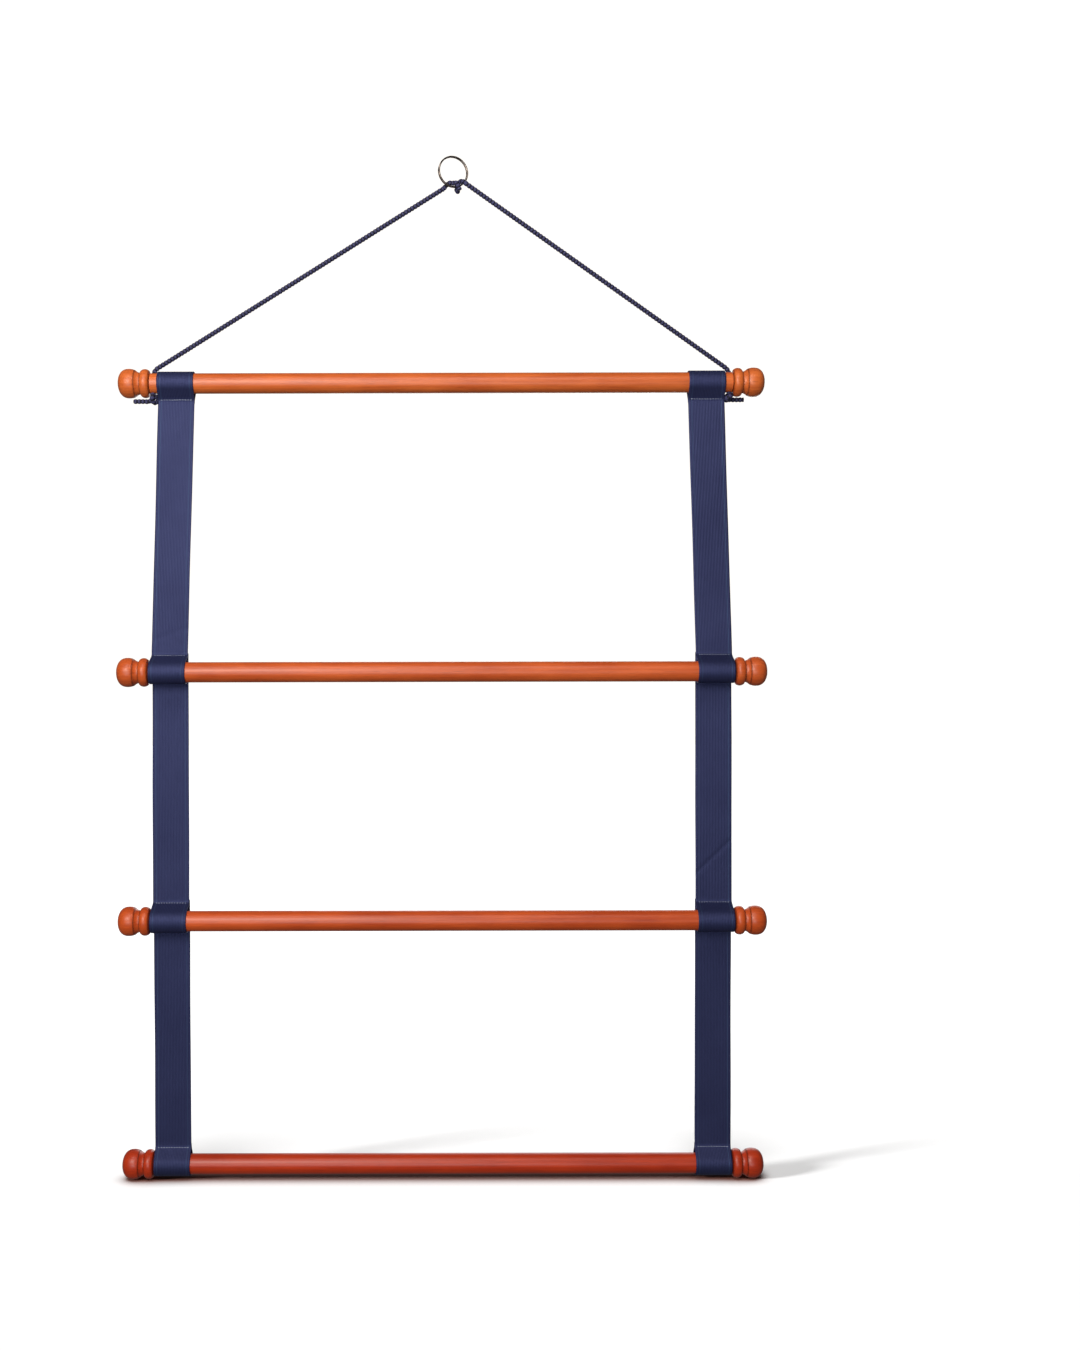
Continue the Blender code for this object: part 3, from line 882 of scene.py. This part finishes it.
def webbing_finish():
    """Navy filament yarn in ribs, with a paler line woven in near each edge."""
    material, nodes, links = new_material("navy_ribbed_webbing")
    shader = nodes["Principled BSDF"]
    shader.inputs["Metallic"].default_value = 0.5  # filament yarn shines in its own colour
    set_inputs(shader, {"Roughness": 0.50, "Specular IOR Level": 0.25})
    flat_place = nodes.new("ShaderNodeUVMap")
    flat_parts = nodes.new("ShaderNodeSeparateXYZ")
    links.new(flat_place.outputs["UV"], flat_parts.inputs["Vector"])

    def worked(operation, first, second=None):
        node = nodes.new("ShaderNodeMath")
        node.operation = operation
        for socket, value in zip(node.inputs, (first, second)):
            if isinstance(value, (int, float)):
                socket.default_value = value
            elif value is not None:
                links.new(value, socket)
        return node.outputs[0]

    def noise(scale, detail):
        texture = nodes.new("ShaderNodeTexNoise")
        set_inputs(texture, {"Scale": scale, "Detail": detail})
        links.new(place.outputs["Object"], texture.inputs["Vector"])
        return texture.outputs["Fac"]

    across, along = flat_parts.outputs["X"], flat_parts.outputs["Y"]
    rib_count = worked("MULTIPLY", across, RIBS / WEB_WIDTH)
    rib = worked("COSINE", worked("MULTIPLY", rib_count, math.tau))
    pick_shift = worked("MULTIPLY", worked("FLOOR", worked("ADD", rib_count, 0.5)), math.pi)
    pick_count = worked("MULTIPLY", along, math.tau / PICK_LENGTH)
    pick = worked("SINE", worked("ADD", pick_count, pick_shift))
    weave = worked("ADD", worked("MULTIPLY", rib, 0.30), worked("MULTIPLY", pick, 0.20))
    weave = worked("ADD", weave, 0.5)
    from_middle = worked("ABSOLUTE", worked("SUBTRACT", across, WEB_WIDTH / 2))
    from_line = worked("ABSOLUTE", worked("SUBTRACT", from_middle, GUIDE_LINE_AT))
    guide_line = worked("SUBTRACT", 1.0, worked("DIVIDE", from_line, GUIDE_LINE_HALF))
    guide_line = worked("MAXIMUM", guide_line, 0.0)
    place = nodes.new("ShaderNodeTexCoord")
    faded = noise(26, 4)
    fuzz = noise(1800, 2)
    tone = worked("ADD", worked("MULTIPLY", weave, 0.55), worked("MULTIPLY", faded, 0.35))
    tone = worked("ADD", tone, worked("MULTIPLY", fuzz, 0.25))
    navy = ramp(nodes, 0.25, NAVY_DARK, 0.85, NAVY_LIGHT)
    links.new(tone, navy.inputs["Fac"])
    lined = nodes.new("ShaderNodeMix")
    lined.data_type = "RGBA"
    links.new(worked("MULTIPLY", guide_line, 0.55), lined.inputs["Factor"])
    links.new(navy.outputs["Color"], lined.inputs["A"])
    lined.inputs["B"].default_value = (*GUIDE_LINE_COLOUR, 1)
    links.new(lined.outputs["Result"], shader.inputs["Base Color"])
    bump = nodes.new("ShaderNodeBump")
    set_inputs(bump, {"Strength": 0.55, "Distance": 0.00025})
    links.new(worked("ADD", weave, worked("MULTIPLY", fuzz, 0.5)), bump.inputs["Height"])
    links.new(bump.outputs["Normal"], shader.inputs["Normal"])
    return material


webbing_material = webbing_finish()


def between(start, end, share):
    """The point this share of the way from one (back, up) point to another."""
    return tuple(start[k] + (end[k] - start[k]) * share for k in (0, 1))


def straight(start, end):
    """Points from the start up to, and without, the end."""
    count = max(1, math.ceil(math.dist(start, end) / PATH_STEP))
    return [between(start, end, i / count) for i in range(count)]


def eased(before, corner, after):
    """A corner of the path as a short curve, where the webbing bends as easily as it can."""
    length_in, length_out = math.dist(before, corner), math.dist(corner, after)
    start = between(corner, before, min(CORNER_EASE / length_in, CORNER_SHARE))
    end = between(corner, after, min(CORNER_EASE / length_out, CORNER_SHARE))
    curve = []
    for i in range(CORNER_STEPS + 1):
        share = i / CORNER_STEPS
        curve.append(between(between(start, corner, share), between(corner, end, share), share))
    return curve


def arc(centre, radius, start, end, step=math.radians(6)):
    count = max(3, math.ceil(abs(end - start) / step))
    angles = [start + (end - start) * i / count for i in range(count + 1)]
    return [(centre[0] + radius * math.cos(a), centre[1] + radius * math.sin(a)) for a in angles]


def tangent_angle(point, centre, side):
    away = (point[0] - centre[0], point[1] - centre[1])
    return math.atan2(away[1], away[0]) + side * math.acos(LOOP_R / math.hypot(*away))


def loop_arc(front, back, centre):
    """The stretch of webbing that lies against a rod, from its front round to its back."""
    start = tangent_angle(front, centre, 1)
    end = tangent_angle(back, centre, -1) + math.tau
    return arc(centre, LOOP_R, start, end)


def joined(*stretches):
    """One path through stretches that are given corner by corner, filled in between them."""
    path = []
    for stretch in stretches:
        if path:
            path += straight(path.pop(), stretch[0])
        path += stretch
    return path


def top_path(axis, bend):
    """From the end sewn down at the back, over the top rail, and down in front."""
    front = (axis[0] - LAYER / 2, axis[1] - SEAM_TO_AXIS)
    back = (axis[0] + LAYER / 2, axis[1] - SEAM_TO_AXIS)
    upside_down = loop_arc((-LAYER / 2, SEAM_TO_AXIS), (LAYER / 2, SEAM_TO_AXIS), (0, 0))
    over = [(axis[0] + y, axis[1] - z) for y, z in reversed(upside_down)]
    end = (back[0], back[1] - WEB_TAIL)
    return joined([end], eased(end, back, over[0]), over, eased(over[-1], front, bend), [bend])


def looped_path(bend, axis, below):
    """From one bending line round a rail, over the fold at the seam, and down to the next."""
    front = (bend[0], bend[1] - HINGE_RISE)
    back = (bend[0] + LAYER, bend[1] - HINGE_RISE)
    round_rod = loop_arc(front, back, axis)
    fold_start = (back[0], bend[1] - HINGE_RISE + FOLD_RISE)
    fold_middle = (back[0] + LAYER / 2, fold_start[1])
    fold = arc(fold_middle, LAYER / 2, math.pi, 0, math.radians(18))
    rise = eased(round_rod[-1], back, fold_start)
    return joined([bend], eased(bend, front, round_rod[0]), round_rod, rise, fold, [below])


def bottom_path(bend, axis):
    """From the last bending line round the bottom rail, and up to the cut end."""
    front = (bend[0], bend[1] - HINGE_RISE)
    back = (bend[0] + LAYER, bend[1] - HINGE_RISE)
    round_rod = loop_arc(front, back, axis)
    end = (back[0], back[1] + WEB_TAIL)
    rise = eased(round_rod[-1], back, end)
    return joined([bend], eased(bend, front, round_rod[0]), round_rod, rise, [end])


def sway(along, start, phase):
    """How far the webbing stands off its straight path along its hanging stretch: a long
    easy wave, with a little twist from edge to edge."""
    share = np.clip((along - start) / (along[-1] - start), 0, 1)
    hang = np.sin(np.pi * share) ** 0.6 * (along > start)
    wave = WAVE_HEIGHT * hang * np.sin(along * math.tau / WAVE_LENGTH + phase)
    twist = TWIST_HEIGHT * hang * np.sin(along * math.tau / TWIST_LENGTH + 2 * phase)
    return wave, twist


def creased(name, along, across):
    if name not in CREASES:
        return 0
    from_end, slant, depth = CREASES[name]
    away = (along[-1] - along)[:, None] - from_end - slant * across[None, :]
    return depth * np.exp(-((away / CREASE_WIDTH) ** 2))


def webbing(name, path, top_x, foot_x, hang_from, phase):
    """A length of ribbed webbing laid along a side view path of (back, up) points. Its
    middle leans from top_x at the top rail's seam to foot_x at the first bending line."""
    path = np.array(path)
    keep = np.r_[True, np.linalg.norm(np.diff(path, axis=0), axis=1) > LEAST_STEP]
    path = path[keep]
    along = np.r_[0, np.cumsum(np.linalg.norm(np.diff(path, axis=0), axis=1))]
    tangents = np.gradient(path, along, axis=0)
    tangents /= np.linalg.norm(tangents, axis=1)[:, None]
    normals = np.column_stack([-tangents[:, 1], tangents[:, 0]])
    lean = np.clip((top_seam - path[:, 1]) / (top_seam - bends[0][1]), 0, 1)
    columns = RIBS * RIB_QUADS
    bpy.ops.object.select_all(action="DESELECT")
    bpy.ops.mesh.primitive_grid_add(x_subdivisions=columns, y_subdivisions=len(path) - 1, size=1)
    piece = bpy.context.object
    piece.name = name
    piece.data.name = name
    across = np.linspace(-0.5, 0.5, columns + 1) * WEB_WIDTH
    wave, twist = sway(along, hang_from, phase)
    stand_off = wave[:, None] + twist[:, None] * across[None, :] / (WEB_WIDTH / 2)
    stand_off = stand_off + creased(name, along, across)
    points = np.empty((len(path), columns + 1, 3))
    points[:, :, 0] = (top_x + (foot_x - top_x) * lean)[:, None] + across[None, :]
    points[:, :, 1:] = path[:, None] + stand_off[:, :, None] * normals[:, None]
    piece.data.vertices.foreach_set("co", points.ravel())
    corners = np.empty(len(piece.data.loops), int)
    piece.data.loops.foreach_get("vertex_index", corners)
    rows, places = corners // (columns + 1), corners % (columns + 1)
    flat = np.column_stack([places * WEB_WIDTH / columns, along[rows]])
    piece.data.uv_layers[0].data.foreach_set("uv", flat.astype(np.float32).ravel())
    thickness = piece.vertex_groups.new(name="thickness")
    for column in range(columns + 1):
        edge = min(column, columns - column)
        share = RIB_THICKNESS[column % RIB_QUADS]
        if edge < len(SELVEDGE_THICKNESS):
            share = SELVEDGE_THICKNESS[edge]
        down = [row * (columns + 1) + column for row in range(len(path))]
        thickness.add(down, share, "REPLACE")
    solidify = piece.modifiers.new("thickness", "SOLIDIFY")
    solidify.thickness = WEB_T
    solidify.offset = 0
    solidify.vertex_group = "thickness"
    solidify.use_even_offset = True
    bpy.ops.object.modifier_apply(modifier=solidify.name)
    face_outwards(piece)
    bpy.ops.object.shade_smooth_by_angle(angle=math.radians(60))
    piece.data.materials.append(webbing_material)
    return piece, float(along[-1])


# Each section: its side view, how much of it is loop before it hangs free, its wave's phase,
# its body, the body that it bends towards, and the line where it bends
SECTIONS = {
    "upper": (
        top_path(rail_axes["top"], bends[0]),
        2 * SEAM_TO_AXIS + math.pi * LOOP_R,
        0.7,
        ("upper_straps", "middle_straps", bends[0]),
    ),
    "middle": (
        looped_path(bends[0], rail_axes["second"], bends[1]),
        LOOP_LENGTH,
        2.1,
        ("middle_straps", "lower_straps", bends[1]),
    ),
    "lower": (
        looped_path(bends[1], rail_axes["third"], bends[2]),
        LOOP_LENGTH,
        4.0,
        ("lower_straps", "bottom_loops", bends[2]),
    ),
    "bottom_loop": (
        bottom_path(bends[2], rail_axes["bottom"]),
        ALL_LOOP,
        0.0,
        ("bottom_loops", None, None),
    ),
}
strap_pieces = {}
for side, sign in SIDES:
    upper_low, upper_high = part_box(f"{side}_strap_upper")
    outer = (upper_low.x if sign < 0 else upper_high.x) - sign * WEB_WIDTH / 2
    inner = (upper_high.x if sign < 0 else upper_low.x) + sign * WEB_WIDTH / 2
    for section, (path, loop_length, phase, (body, next_body, bend)) in SECTIONS.items():
        name = f"{side}_webbing_{section}"
        top_x = inner if section == "upper" else outer
        piece, length = webbing(name, path, top_x, outer, loop_length, phase + sign)
        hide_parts(f"{side}_strap_{section}")
        if next_body:
            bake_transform(piece)
        else:
            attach(piece, body)
        strap_pieces[side, section] = (piece, length)


# ---------------------------------------------------------------- sewing thread
# A row of lockstitch in paler thread goes through all the layers above each loop, and below
# the top rail's. Each stitch lies on the webbing, and dips into it at both ends.

STITCH_PITCH = 0.0029
STITCH_LENGTH = 0.0023
STITCH_TILT = math.radians(7)
TILT_STEP = 12.9  # radians from stitch to stitch, which tilts each one its own way
THREAD_R = 0.00036
ROW_WIDTH = 0.0372
STITCHES = int(ROW_WIDTH / STITCH_PITCH)
THREAD_DARK = (0.22, 0.26, 0.40)
THREAD_LIGHT = (0.44, 0.49, 0.64)
# Each section's seam: where it is, the rail that the section hangs on, and its height
SEAMS = {
    "upper": ("under_top_rail", "top", top_seam),
    "middle": ("over_second_rail", "second", bends[0][1] - HINGE_RISE),
    "lower": ("over_third_rail", "third", bends[1][1] - HINGE_RISE),
    "bottom_loop": ("over_bottom_rail", "bottom", bends[2][1] - HINGE_RISE),
}


def thread_finish():
    """Pale blue thread, its plies showing as fine diagonal bands."""
    material, nodes, links = new_material("pale_blue_thread")
    shader = nodes["Principled BSDF"]
    set_inputs(shader, {"Roughness": 0.55, "Sheen Weight": 0.3})
    place = nodes.new("ShaderNodeTexCoord")
    plies = nodes.new("ShaderNodeTexWave")
    plies.bands_direction = "DIAGONAL"
    set_inputs(plies, {"Scale": 700, "Distortion": 2})
    links.new(place.outputs["Object"], plies.inputs["Vector"])
    thread_colour = ramp(nodes, 0.0, THREAD_DARK, 1.0, THREAD_LIGHT)
    links.new(plies.outputs["Fac"], thread_colour.inputs["Fac"])
    links.new(thread_colour.outputs["Color"], shader.inputs["Base Color"])
    return material


thread_material = thread_finish()

bpy.ops.object.select_all(action="DESELECT")
bpy.ops.mesh.primitive_uv_sphere_add(
    segments=8,
    ring_count=8,
    radius=1,
    rotation=(0, math.radians(90), 0),
)
stitch_pattern = bpy.context.object
bpy.ops.object.transform_apply(rotation=True)
stitch_pattern.scale = (STITCH_LENGTH / 2, THREAD_R, THREAD_R)
bpy.ops.object.transform_apply(scale=True)
bpy.ops.object.shade_smooth()


def stitch_row(name, middle_x, height, faces, body):
    """A seam's stitches on both faces, where both rows lie in line."""
    row = bmesh.new()
    for face in faces:
        for i in range(STITCHES):
            x = middle_x + (i - (STITCHES - 1) / 2) * STITCH_PITCH
            known = len(row.verts)
            row.from_mesh(stitch_pattern.data)
            row.verts.ensure_lookup_table()
            tilt = Matrix.Rotation(STITCH_TILT * math.sin(TILT_STEP * i), 4, "Y")
            laid = Matrix.Translation((x, face, height)) @ tilt
            bmesh.ops.transform(row, matrix=laid, verts=row.verts[known:])
    mesh = bpy.data.meshes.new(name)
    row.to_mesh(mesh)
    row.free()
    mesh.shade_smooth()
    seam = bpy.data.objects.new(name, mesh)
    bpy.context.scene.collection.objects.link(seam)
    mesh.materials.append(thread_material)
    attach(seam, body)
    return seam


def outer_faces(path, height):
    """How far back the front and the back of all the webbing layers lie at a height."""
    backs = []
    for (back, up), (next_back, next_up) in zip(path, path[1:]):
        if up != next_up and (up - height) * (next_up - height) <= 0:
            backs.append(back + (next_back - back) * (height - up) / (next_up - up))
    return min(backs) - WEB_T / 2, max(backs) + WEB_T / 2


for (side, section), (piece, length) in strap_pieces.items():
    path, _, _, (body, *_) = SECTIONS[section]
    where, rail, height = SEAMS[section]
    left_edge = piece.data.vertices[0].co.x
    faces = outer_faces(path, height)
    seam = stitch_row(f"{side}_seam_{where}", left_edge + WEB_WIDTH / 2, height, faces, body)

bpy.data.objects.remove(stitch_pattern)
